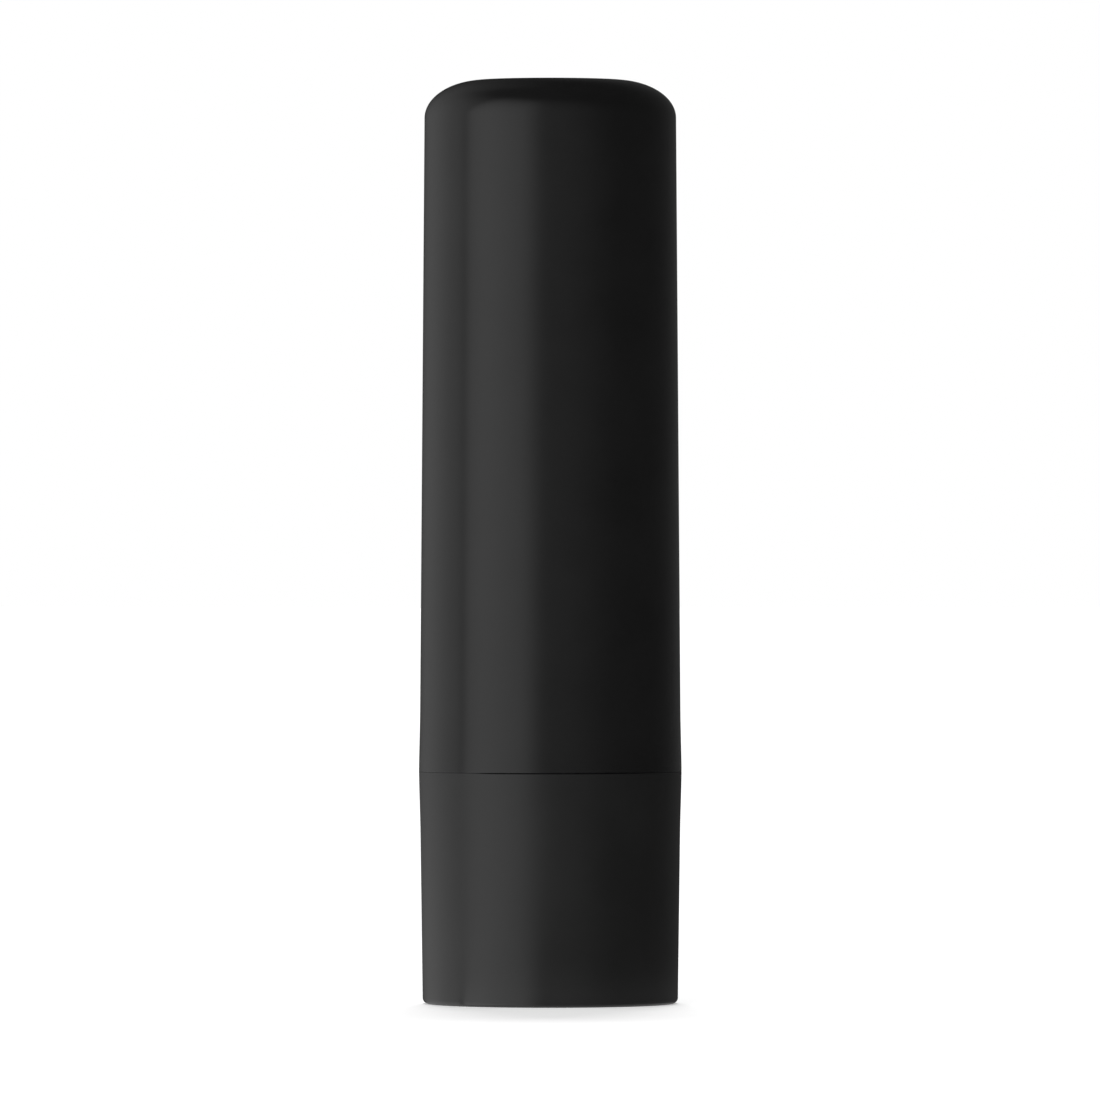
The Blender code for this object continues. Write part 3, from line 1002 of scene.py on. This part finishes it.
@dataclass
class BaseAssembly(SubAssembly):
    """The cup that the user turns, and the screw post that it drives."""

    post: Span = spanning("spindle")
    tube: Span = spanning("barrel_tube")
    nut: Span = spanning("carrier_cup")
    foot_round: float = 0.00045
    recess: float = 0.0004
    ring_width: float = 0.0009
    gate_depth: float = 0.00018
    witness_radius: float = 0.0054
    witness_width: float = 0.0004
    bead_drop: float = 0.0026
    bead_height: float = 0.0009
    bead_radius: float = 0.007978
    mouth_chamfer: float = 0.00022
    outside_step: float = 0.0012
    flare_step: float = 0.0005
    inside_step: float = 0.0002
    sharp_step: float = 0.00002
    foot_steps: int = 8
    cup_meridians: int = 192
    post_meridians: int = 72
    teeth: Spokes = Spokes(6, 0.0011, 0.00012)
    tooth_reach: float = 0.0013
    notch_edge: float = 0.00014
    hub_foot_radius: float = 0.0042
    hub_top_radius: float = 0.0032

    @property
    def floor_top(self) -> float:
        """The height of the cup's floor inside."""
        return self.post.foot - self.outline.seat_gap

    @property
    def flange_top(self) -> float:
        """The height of the flange's upper face, level with the teeth."""
        return self.tube.foot - self.outline.seat_gap

    @property
    def tooth_radius(self) -> float:
        """The radius that the teeth reach in to."""
        return self.outline.bore(self.floor_top) - self.tooth_reach

    def build(self) -> None:
        """Makes the cup and the post."""
        self.add_cup()
        self.add_post()

    def cup_inside(self) -> list[Point]:
        """Makes the cup's inner profile: floor, wall, snap bead and the land inside the seam.

        Returns:
            The points, from the axis to the outside.
        """
        shape, floor, mouth = self.outline, self.floor_top, self.outline.base_mouth
        witness, half_width = self.witness_radius, self.witness_width / 2
        wall_foot = floor + 3 * self.inside_step
        tooth_end = self.flange_top + self.sharp_step
        bead_foot = mouth - self.bead_drop - self.bead_height
        bead_end = bead_foot + self.bead_height + 4 * EDGE
        land = shape.cap_mouth - shape.land_gap
        land_radius = shape.base.radius - shape.land_inset
        points = rounded([
            (0, floor, 0),
            (witness - half_width, floor, 0),
            (witness, floor - EDGE, EDGE),
            (witness + half_width, floor, 0),
            corner_on(shape.bore, floor, 2 * EDGE),
            corner_on(shape.bore, wall_foot),
        ])
        points += levels(shape.bore, wall_foot + self.inside_step, self.flange_top, self.inside_step)
        points.append((shape.bore(tooth_end), tooth_end))
        points += snap_bead(shape.bore, self.bead_radius, bead_foot, self.bead_height)
        return points + rounded([
            corner_on(shape.bore, bead_end),
            corner_on(shape.bore, mouth - 3 * EDGE, 2 * EDGE),
            (shape.bore(mouth) + self.mouth_chamfer, land, EDGE),
            (land_radius, land, EDGE / 10),
            (land_radius, mouth, EDGE / 10),
            corner_on(shape.skin, mouth, shape.seam_ease),
            corner_on(shape.skin, mouth - 4 * EDGE),
        ])

    def cup_outside(self) -> list[Point]:
        """Makes the cup's outer profile: flared wall, foot, standing ring and recessed underside.

        Returns:
            The points, from the mouth down and to the axis.
        """
        shape = self.outline
        flare_foot = shape.base_mouth - shape.flare_length
        ring_outer = shape.skin(self.foot_round) - self.foot_round
        ring_inner = ring_outer - self.ring_width
        corner = (self.foot_round, self.foot_round)
        points = levels(shape.skin, shape.base_mouth - 8 * EDGE, flare_foot, self.flare_step)
        points += levels(shape.skin, flare_foot - 7 * EDGE, self.foot_round, self.outside_step)
        points += oval((ring_outer, self.foot_round), corner, 0, -math.pi / 2, self.foot_steps)[1:]
        return points + rounded([
            (ring_outer - EDGE, 0, 0),
            (ring_inner, 0, EDGE),
            (ring_inner - self.recess / 2, self.recess, EDGE),
            *gate_mark(self.recess, self.gate_depth),
        ])

    def add_cup(self) -> None:
        """Makes the cup and presses its driving teeth out of the wall."""
        wall, sharp = self.outline.bore(self.flange_top), self.sharp_step / 2
        profile = self.cup_inside() + self.cup_outside()
        mesh = turned_mesh(profile, self.teeth.angles(self.cup_meridians, wall))
        self.outline.tighten(mesh)
        reach = (self.floor_top - EDGE, self.flange_top + sharp)
        band = (self.outline.bore(self.floor_top) - 4 * EDGE, wall + 2 * EDGE)
        teeth = self.teeth.pressed(reach, band, self.tooth_radius, sharp)
        self.add("base_cup", mesh, BASE_PLASTIC, "base_shell", "base_plastic", teeth)

    def add_post(self) -> None:
        """Makes the post: a notched flange, a hub and a left-hand thread."""
        gap, core = self.outline.seat_gap, self.thread.core_radius
        flange, foot, top = self.post.radius, self.post.foot, self.post.top
        hub_top, notch_radius = self.nut.foot - gap, self.tooth_radius - gap
        notches = Spokes(self.teeth.count, self.teeth.width + 2 * gap, self.notch_edge)
        points = rounded([
            (0, foot, 0),
            (self.hub_foot_radius, foot, 0),
            (flange, foot, EDGE),
            (flange, self.flange_top, EDGE),
            (notch_radius - 2 * EDGE, self.flange_top, 0),
            (self.hub_foot_radius, self.flange_top, 3 * EDGE),
            (self.hub_top_radius, hub_top, 2 * EDGE),
            (core, hub_top, EDGE),
            (core, hub_top + 4 * EDGE, 0),
        ])
        points += levels(straight(core), hub_top + 5 * EDGE, top - 2 * EDGE, self.thread.level_step)
        points += rounded([(core, top - 2 * EDGE, 0), (core, top, EDGE), (0, top, 0)])[1:]
        mesh = turned_mesh(points, notches.angles(self.post_meridians, flange))
        cut = notches.pressed((0, hub_top), (notch_radius, flange + EDGE), notch_radius)
        thread = self.thread.cut((hub_top + EDGE, top - EDGE), self.thread.runout)
        self.add("screw_post", mesh, POST_PLASTIC, "spindle", "spindle_plastic", cut, thread)


@dataclass
class BarrelAssembly(SubAssembly):
    """The guide tube and the ring that drags in the base."""

    tube: Span = spanning("barrel_tube")
    ring: Span = spanning("friction_ring")
    radius: float = 0.007828
    bore_radius: float = 0.006828
    rim_round: float = 0.00025
    foot_round: float = 0.00015
    ridge_rise: float = 0.0002
    ridge_foot: float = 0.0195
    snap_foot: float = 0.01225
    bead_height: float = 0.0009
    groove_radius: float = 0.007228
    groove_clearance: float = 0.0001
    level_step: float = 0.0015
    rim_steps: int = 8
    meridians: int = 240
    ribs: Spokes = Spokes(4, 0.00082, 0.00008)
    rib_height: float = 0.00035
    rib_margin: float = 0.0012
    ring_steps: int = 144
    section_sides: int = 24

    def build(self) -> None:
        """Makes the tube and the ring."""
        self.add_tube()
        self.add_ring()

    def tube_outside(self) -> list[Point]:
        """Makes the tube's rim, cap ridge, snap bead, ring groove and foot.

        Returns:
            The points, from the top of the bore over the outside to its foot.
        """
        side, bore, groove = self.radius, self.bore_radius, self.groove_radius
        rim, foot = self.tube.top, self.tube.foot
        groove_top = self.ring.top + self.groove_clearance
        groove_foot = self.ring.foot - self.groove_clearance
        rim_corners = [
            (bore, rim - 11 * EDGE, 0),
            (bore, rim, self.rim_round),
            (side, rim, self.rim_round),
            (side, rim - 9 * EDGE, 0),
        ]
        points = rounded(rim_corners, self.rim_steps)
        ridge_top = self.ridge_foot + self.bead_height
        points += levels(straight(side), rim - self.level_step, ridge_top + 5 * EDGE, self.level_step)
        beads = ((side + self.ridge_rise, self.ridge_foot), (self.tube.radius, self.snap_foot))
        for crest, bead_foot in beads:
            points += reversed(snap_bead(straight(side), crest, bead_foot, self.bead_height))
        return points + rounded([
            (side, groove_top + 8 * EDGE, 0),
            (side, groove_top, EDGE / 2),
            (groove, groove_top, EDGE),
            (groove, groove_foot, EDGE),
            (side, groove_foot, EDGE / 2),
            (side, foot, self.foot_round),
            (bore, foot, self.foot_round),
            (bore, foot + 6 * EDGE, 0),
        ])

    def add_tube(self) -> None:
        """Makes the tube and raises the four ribs in its bore."""
        foot, top = self.tube.foot + self.rib_margin, self.tube.top - self.rib_margin
        points = self.tube_outside()
        stretches = ((foot - EDGE, foot + EDGE), (foot + 4 * EDGE, top - 4 * EDGE), (top - EDGE, top + EDGE))
        for low, high in stretches:
            points += levels(straight(self.bore_radius), low, high, self.level_step)
        angles = self.ribs.angles(self.meridians, self.bore_radius)
        mesh = turned_mesh(points, angles, closed=True)
        band = (self.bore_radius - EDGE, self.bore_radius + EDGE)
        ribs = self.ribs.pressed((foot, top), band, self.bore_radius - self.rib_height)
        self.add("guide_barrel", mesh, BARREL_PLASTIC, "barrel_tube", "barrel_plastic", ribs)

    def add_ring(self) -> None:
        """Makes the ring: a round section swept around the groove."""
        section = (self.ring.top - self.ring.foot) / 2
        radius, height = self.ring.radius - section, self.ring.foot + section
        turns = even_angles(self.ring_steps)
        points = [(radius * math.cos(angle), radius * math.sin(angle), height) for angle in turns]
        links = [(index, (index + 1) % self.ring_steps) for index in range(self.ring_steps)]
        path = bpy.data.meshes.new("drag_ring_path")
        path.from_pydata(points, links, [])
        swept = RoundSection(section, self.section_sides)
        self.add("drag_ring", path, RING_RUBBER, "friction_ring", "ring_rubber", swept)


@dataclass
class CarrierAssembly(SubAssembly):
    """The cup with the nut, and the balm that is cast into it."""

    cup: Span = spanning("carrier_cup")
    stick: Span = spanning("balm_stick")
    post: Span = spanning("spindle")
    sliding_radius: float = 0.006678
    cup_wall: float = 0.0008
    cup_floor: float = 0.001
    nut_wall: float = 0.001
    skirt_length: float = 0.0026
    edge_round: float = 0.00015
    nut_chamfer: float = 0.0002
    meridians: int = 180
    tracks: Spokes = Spokes(4, 0.0012, 0.00014)
    track_depth: float = 0.00035
    dome: float = 0.003
    dome_steps: int = 44
    balm_bore: float = 0.00275
    balm_step: float = 0.0012
    cast_gap: float = 0.0001

    @property
    def cup_bore(self) -> float:
        """The inner radius of the cup."""
        return self.sliding_radius - self.cup_wall

    def build(self) -> None:
        """Makes the cup and the balm."""
        self.add_cup()
        self.add_balm()

    def turned(self, points: Sequence[Point], closed: bool = False) -> Mesh:
        """Returns the mesh of a turned profile, with meridians along the tracks' edges."""
        return turned_mesh(points, self.tracks.angles(self.meridians, self.sliding_radius), closed)

    def tracks_to(self, top: float) -> Spokes:
        """Returns the tracks in which the barrel's ribs run, through a piece of that height."""
        pressed = self.sliding_radius - self.track_depth
        return self.tracks.pressed((0, top + self.dome), (pressed, self.sliding_radius + EDGE), pressed)

    def add_cup(self) -> None:
        """Makes the cup: wall, floor, guide skirt and threaded nut."""
        core = self.thread.core_radius + self.thread.clearance
        nut, bore, side = core + self.thread.depth + self.nut_wall, self.cup_bore, self.sliding_radius
        rim, foot, deck = self.cup.top, self.cup.foot, self.stick.foot - self.cast_gap
        floor, ease, chamfer = deck - self.cup_floor, self.edge_round, self.nut_chamfer
        skirt = floor - self.skirt_length
        points = rounded([
            (bore, rim - 6 * EDGE, 0),
            (bore, rim, ease),
            (side, rim, ease),
            (side, skirt, ease),
            (bore, skirt, ease),
            (bore, floor, 3 * EDGE),
            (nut, floor, 3 * EDGE),
            (nut, foot, ease),
            (core + chamfer, foot, 0),
            (core, foot + ease, 0),
        ])
        points += levels(straight(core), foot + chamfer, deck - chamfer, self.thread.level_step)
        points += rounded([
            (core, deck - ease, 0),
            (core + chamfer, deck, 0),
            (bore, deck, 3 * EDGE),
            (bore, deck + 12 * EDGE, 0),
        ])
        thread = self.thread.cut((foot + chamfer, deck - chamfer), EDGE, self.thread.clearance)
        mesh, tracks = self.turned(points, closed=True), self.tracks_to(rim)
        self.add("carrier", mesh, CARRIER_PLASTIC, "carrier_cup", "carrier_plastic", tracks, thread)

    def add_balm(self) -> None:
        """Makes the balm: a domed stick over a plug, bored for the post."""
        side, plug, bore = self.sliding_radius, self.cup_bore - self.cast_gap, self.balm_bore
        foot, tip, seat = self.stick.foot, self.stick.top, self.cup.top + self.cast_gap
        bore_top, dome_foot = self.post.top + self.outline.seat_gap, tip - self.dome
        points = oval((0, dome_foot), (side, self.dome), math.pi / 2, 0, self.dome_steps)
        points += levels(straight(side), dome_foot - 4 * EDGE, seat + 9 * EDGE, self.balm_step)
        points += rounded([
            (side, seat + 6 * EDGE, 0),
            (side, seat, EDGE),
            (plug, seat, EDGE),
            (plug, foot, 3 * EDGE),
            (bore, foot, 2 * EDGE),
            (bore, bore_top, 4 * EDGE),
            (0, bore_top, 0),
        ])
        self.add("balm", self.turned(points), BALM_WAX, "balm_stick", "balm_wax", self.tracks_to(tip))


@dataclass
class CapAssembly(SubAssembly):
    """The tall pull-off cap."""

    roof: float = 0.0013
    crown_flat: float = 0.0024
    crown_steps: int = 40
    ceiling_steps: int = 12
    bead_rise: float = 0.0015
    bead_height: float = 0.0009
    bead_radius: float = 0.008108
    gate_depth: float = 0.00012
    mouth_chamfer: float = 0.0003
    outside_step: float = 0.002
    flare_step: float = 0.0005
    inside_step: float = 0.003
    meridians: int = 224

    def build(self) -> None:
        """Makes the cap: a low rounded crown, and a bead inside its mouth."""
        mesh = turned_mesh(self.outside() + self.inside(), even_angles(self.meridians))
        self.outline.tighten(mesh)
        self.add("cap", mesh, CAP_PLASTIC, "cap_shell", "cap_plastic")

    def outside(self) -> list[Point]:
        """Makes the cap's outer profile: crown, tapered side and flare.

        Returns:
            The points, from the axis down to the mouth.
        """
        shape, mouth = self.outline, self.outline.cap_mouth
        half_sizes = (shape.crown_inset, shape.crown_drop)
        centre = (shape.skin(shape.crown_start) - shape.crown_inset, shape.crown_start)
        flare_top = mouth + shape.flare_length
        points = [(0, shape.cap.top), (self.crown_flat, shape.cap.top)]
        points += oval(centre, half_sizes, math.pi / 2, 0, self.crown_steps)
        points += levels(shape.skin, shape.crown_start - 10 * EDGE, flare_top + 20 * EDGE, self.outside_step)
        return points + levels(shape.skin, flare_top, mouth + 8 * EDGE, self.flare_step)

    def inside(self) -> list[Point]:
        """Makes the cap's inner profile: chamfered mouth, bead, bore and roof.

        Returns:
            The points, from the mouth up and to the axis.
        """
        shape, mouth = self.outline, self.outline.cap_mouth
        points = rounded([
            corner_on(shape.skin, mouth + 4 * EDGE),
            corner_on(shape.skin, mouth, shape.seam_ease),
            (shape.bore(mouth) + self.mouth_chamfer, mouth, EDGE),
            corner_on(shape.bore, mouth + 5 * EDGE, 2 * EDGE),
            corner_on(shape.bore, mouth + 9 * EDGE),
        ])
        bead_foot = mouth + self.bead_rise
        points += snap_bead(shape.bore, self.bead_radius, bead_foot, self.bead_height)
        bead_end = bead_foot + self.bead_height + 8 * EDGE
        points += levels(shape.bore, bead_end, shape.crown_start - 6 * EDGE, self.inside_step)
        ceiling = shape.cap.top - self.roof
        corner = ceiling - shape.crown_start
        centre = (shape.bore(shape.crown_start) - corner, shape.crown_start)
        points += oval(centre, (corner, corner), 0, math.pi / 2, self.ceiling_steps)
        return points + rounded(gate_mark(ceiling, self.gate_depth))


# Studio


@dataclass(frozen=True)
class SoftPanel:
    """A soft light panel that the stick mirrors, with smooth edges.

    The angles are those of the mirrored rays, in degrees from the front towards the right.
    """

    left: Point
    right: Point
    top: Point
    level: float
    foot: Point = (-0.02, -0.01)

    def glow(self, angle: Value, height: Value) -> Value:
        """Returns the panel's light on the tent at an angle in degrees and a height."""
        across = angle.step(*self.left) * angle.step(self.right[1], self.right[0])
        return across * height.step(*self.foot) * height.step(self.top[1], self.top[0]) * self.level


# Each panel's left, right and top edge and its level, and the crown panel's foot.
PANELS = {
    "key": SoftPanel((-85.5, -78.5), (-28, -3), (0.055, 0.32), 0.6),
    "key edge": SoftPanel((-85.5, -78.5), (-62, -20), (0.055, 0.32), 0.26),
    "front": SoftPanel((-79.5, -62.5), (8, 65), (0.055, 0.32), 0.15),
    "left rim": SoftPanel((-180, -109), (-90, -81.5), (0.06, 0.26), 0.58),
    "crown": SoftPanel((-190, -165), (-155, -138), (0.2, 0.3), 0.045, (0.07, 0.12)),
    "left foot": SoftPanel((-180, -125), (-84, -50), (0.0, 0.02), 0.17),
    # The foot panel is a painted reflection: a low glow on the tent's foot stands in for the floor's shine,
    # which the tent hides from the stick's gloss.
    "foot": SoftPanel((-110, -80), (60, 185), (0.0005, 0.003), 0.15),
    "right rim": SoftPanel((95, 150), (190, 200), (0.07, 0.16), 0.045),
}


@dataclass(frozen=True)
class SoftLamp:
    """A wide, distant lamp that the stick's gloss doesn't show."""

    name: str
    direction: Vector
    power: float
    width: float

    def add(self) -> None:
        """Puts the lamp into the scene."""
        lamp = bpy.data.lights.new(self.name, "SUN")
        lamp.angle = math.radians(self.width)
        lamp.energy = self.power
        holder = placed(self.name, lamp)
        holder.rotation_euler = self.direction.to_track_quat("-Z", "Y").to_euler()
        holder.visible_glossy = False


@dataclass(frozen=True)
class Studio:
    """The floor, the light tent, the lamps, the surroundings and the camera."""

    photo_size: int = 1100
    focal_pixels: float = 13190.0
    horizon_row: float = 545.0
    centre_column: float = 550.3
    sensor_width: float = 36.0
    camera_distance: float = 0.954
    camera_height: float = 0.03317
    camera_clip: Point = (0.05, 50.0)
    floor_half: float = 6.0
    floor_white: float = 0.9
    floor_glow: float = 0.36
    surround_light: float = 0.3
    tent_profile: tuple[Point, ...] = ((0.00915, 0.0), (0.04, 0.016), (0.1, 0.06), (0.1, 0.5), (0.0, 0.5))
    tent_steps: int = 96
    tent_dark: float = 0.035
    tent_top_dark: float = 0.008
    dark_fade: Point = (0.1, 0.3)
    dark_lean: float = 0.0006
    mirror_radius: float = 0.0093
    mirror_rounds: int = 3
    lamps: tuple[SoftLamp, ...] = (
        SoftLamp("back_lamp", Vector((0.0, -0.445, -0.895)), power=1.55, width=18),
        SoftLamp("fill_lamp", Vector((0.45, 0.85, -0.28)), power=1.7, width=80),
    )

    def build(self) -> None:
        """Sets the whole studio up."""
        self.add_surroundings()
        self.add_floor()
        self.add_tent()
        for lamp in self.lamps:
            lamp.add()
        self.add_camera()
        bpy.context.scene.view_settings.view_transform = "Standard"

    @staticmethod
    def seen(tree: NodeTree) -> Value:
        """Returns 1 for rays from the camera, from gloss and through glass, and 0 for others."""
        path = tree.node("ShaderNodeLightPath").outputs
        return reduce(Value.most, (Value(tree, path[f"Is {ray} Ray"]) for ray in SHOWING_RAYS))

    @staticmethod
    def staged(name: str, mesh: Mesh, shader: Callable[[NodeTree], Value]) -> bpy.types.Object:
        """Makes a piece of the stage, which lights nothing by its own glow.

        Args:
            name: The piece's name.
            mesh: Its mesh.
            shader: Fills a tree and returns the surface shader.

        Returns:
            The piece, in the scene.
        """
        material = made_material(f"{name}_material", shader)
        material.cycles.emission_sampling = "NONE"
        mesh.materials.append(material)
        piece = placed(name, mesh)
        return piece

    def add_surroundings(self) -> None:
        """Makes the white surroundings, with less light on the stick than the camera sees."""
        world = bpy.data.worlds.new("white_surroundings")
        world.use_nodes = True
        tree = NodeTree(world.node_tree)
        strength = self.seen(tree).mixed(self.surround_light, 1.0)
        background = tree.value("ShaderNodeBackground", sockets={"Color": WHITE, "Strength": strength})
        tree.node("ShaderNodeOutputWorld", sockets={"Surface": background})
        bpy.context.scene.world = world

    def paper(self, tree: NodeTree) -> Value:
        """Makes the floor's shader: pale paper that the camera sees a little brighter than it is lit.

        Args:
            tree: The shader tree.

        Returns:
            The shader.
        """
        white = (self.floor_white, self.floor_white, self.floor_white, 1.0)
        matt = tree.value("ShaderNodeBsdfDiffuse", sockets={"Color": white})
        glow = tree.value("ShaderNodeEmission", sockets={"Color": self.seen(tree) * self.floor_glow})
        return tree.value("ShaderNodeAddShader", sockets={0: matt, 1: glow})

    def add_floor(self) -> None:
        """Makes the pale floor, which keeps the stick's shadow."""
        half = self.floor_half
        corners = [(-half, -half, 0), (half, -half, 0), (half, half, 0), (-half, half, 0)]
        mesh = bpy.data.meshes.new("floor")
        mesh.from_pydata(corners, [], [(0, 1, 2, 3)])
        self.staged("floor", mesh, self.paper)

    def tent_light(self, tree: NodeTree) -> Value:
        """Makes the tent's shader: dark cloth with the panels at the angles that the stick mirrors.

        A ray that the stick turns aside by an angle lands on the tent a little further round, because it
        starts at the stick's skin and not on its axis. A few rounds of correction undo that.

        Args:
            tree: The shader tree.

        Returns:
            The shader.
        """
        x, y, height = tree.parts(tree.node("ShaderNodeTexCoord").outputs["Object"])
        around = tree.math("ARCTAN2", x, -1 * y)
        nearness = self.mirror_radius / (x * x + y * y).root()
        mirrored = around
        for _ in range(self.mirror_rounds):
            mirrored = around + (nearness * (mirrored / 2).sine()).math("ARCSINE")
        angle = mirrored * (180 / math.pi)
        leaning = height + abs(angle) * self.dark_lean
        dark = leaning.step(*self.dark_fade).mixed(self.tent_dark, self.tent_top_dark)
        light = sum((panel.glow(angle, height) for panel in PANELS.values()), dark)
        return tree.value("ShaderNodeEmission", sockets={"Color": light})

    def add_tent(self) -> None:
        """Makes the tent of soft panels and dark cloth around the stick, which shows only in its gloss."""
        mesh = turned_mesh(self.tent_profile, even_angles(self.tent_steps))
        mesh.flip_normals()
        tent = self.staged("tent", mesh, self.tent_light)
        for ray in ("camera", "diffuse", "transmission", "volume_scatter", "shadow"):
            setattr(tent, f"visible_{ray}", False)

    def add_camera(self) -> None:
        """Makes the level camera of the photograph."""
        camera = bpy.data.cameras.new("camera")
        camera.sensor_width = self.sensor_width
        camera.lens = self.sensor_width * self.focal_pixels / self.photo_size
        camera.clip_start, camera.clip_end = self.camera_clip
        holder = placed("camera", camera)
        middle = self.photo_size / 2
        tilt = math.atan((self.horizon_row - middle) / self.focal_pixels)
        aside = (middle - self.centre_column) * self.camera_distance / self.focal_pixels
        holder.location = (aside, -self.camera_distance, self.camera_height)
        holder.rotation_euler = (math.pi / 2 + tilt, 0, 0)
        bpy.context.scene.camera = holder


def main() -> None:
    """Builds the stick's sub-assemblies and the studio, and reports each piece."""
    logging.basicConfig(level=logging.INFO, format="%(name)s: %(message)s")
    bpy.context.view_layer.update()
    rise = frame["record"]["behaviour"]["couplings"][0]["ratio"]
    trees = {Spokes: spokes_tree(), ScrewThread: thread_tree(), RoundSection: ring_tree()}
    shared = (StickOutline(), ScrewThread(lead=rise * math.tau), trees)
    assemblies = [
        BaseAssembly(*shared, Body.BASE),
        BarrelAssembly(*shared, Body.BARREL),
        CarrierAssembly(*shared, Body.CARRIER),
        CapAssembly(*shared, Body.CAP),
    ]
    for assembly in assemblies:
        assembly.build()
        for piece in assembly.pieces:
            LOG.info("%s on %s: %d faces", piece.name, assembly.body.value, len(piece.data.polygons))
    Studio().build()


if __name__ == "__main__":
    main()
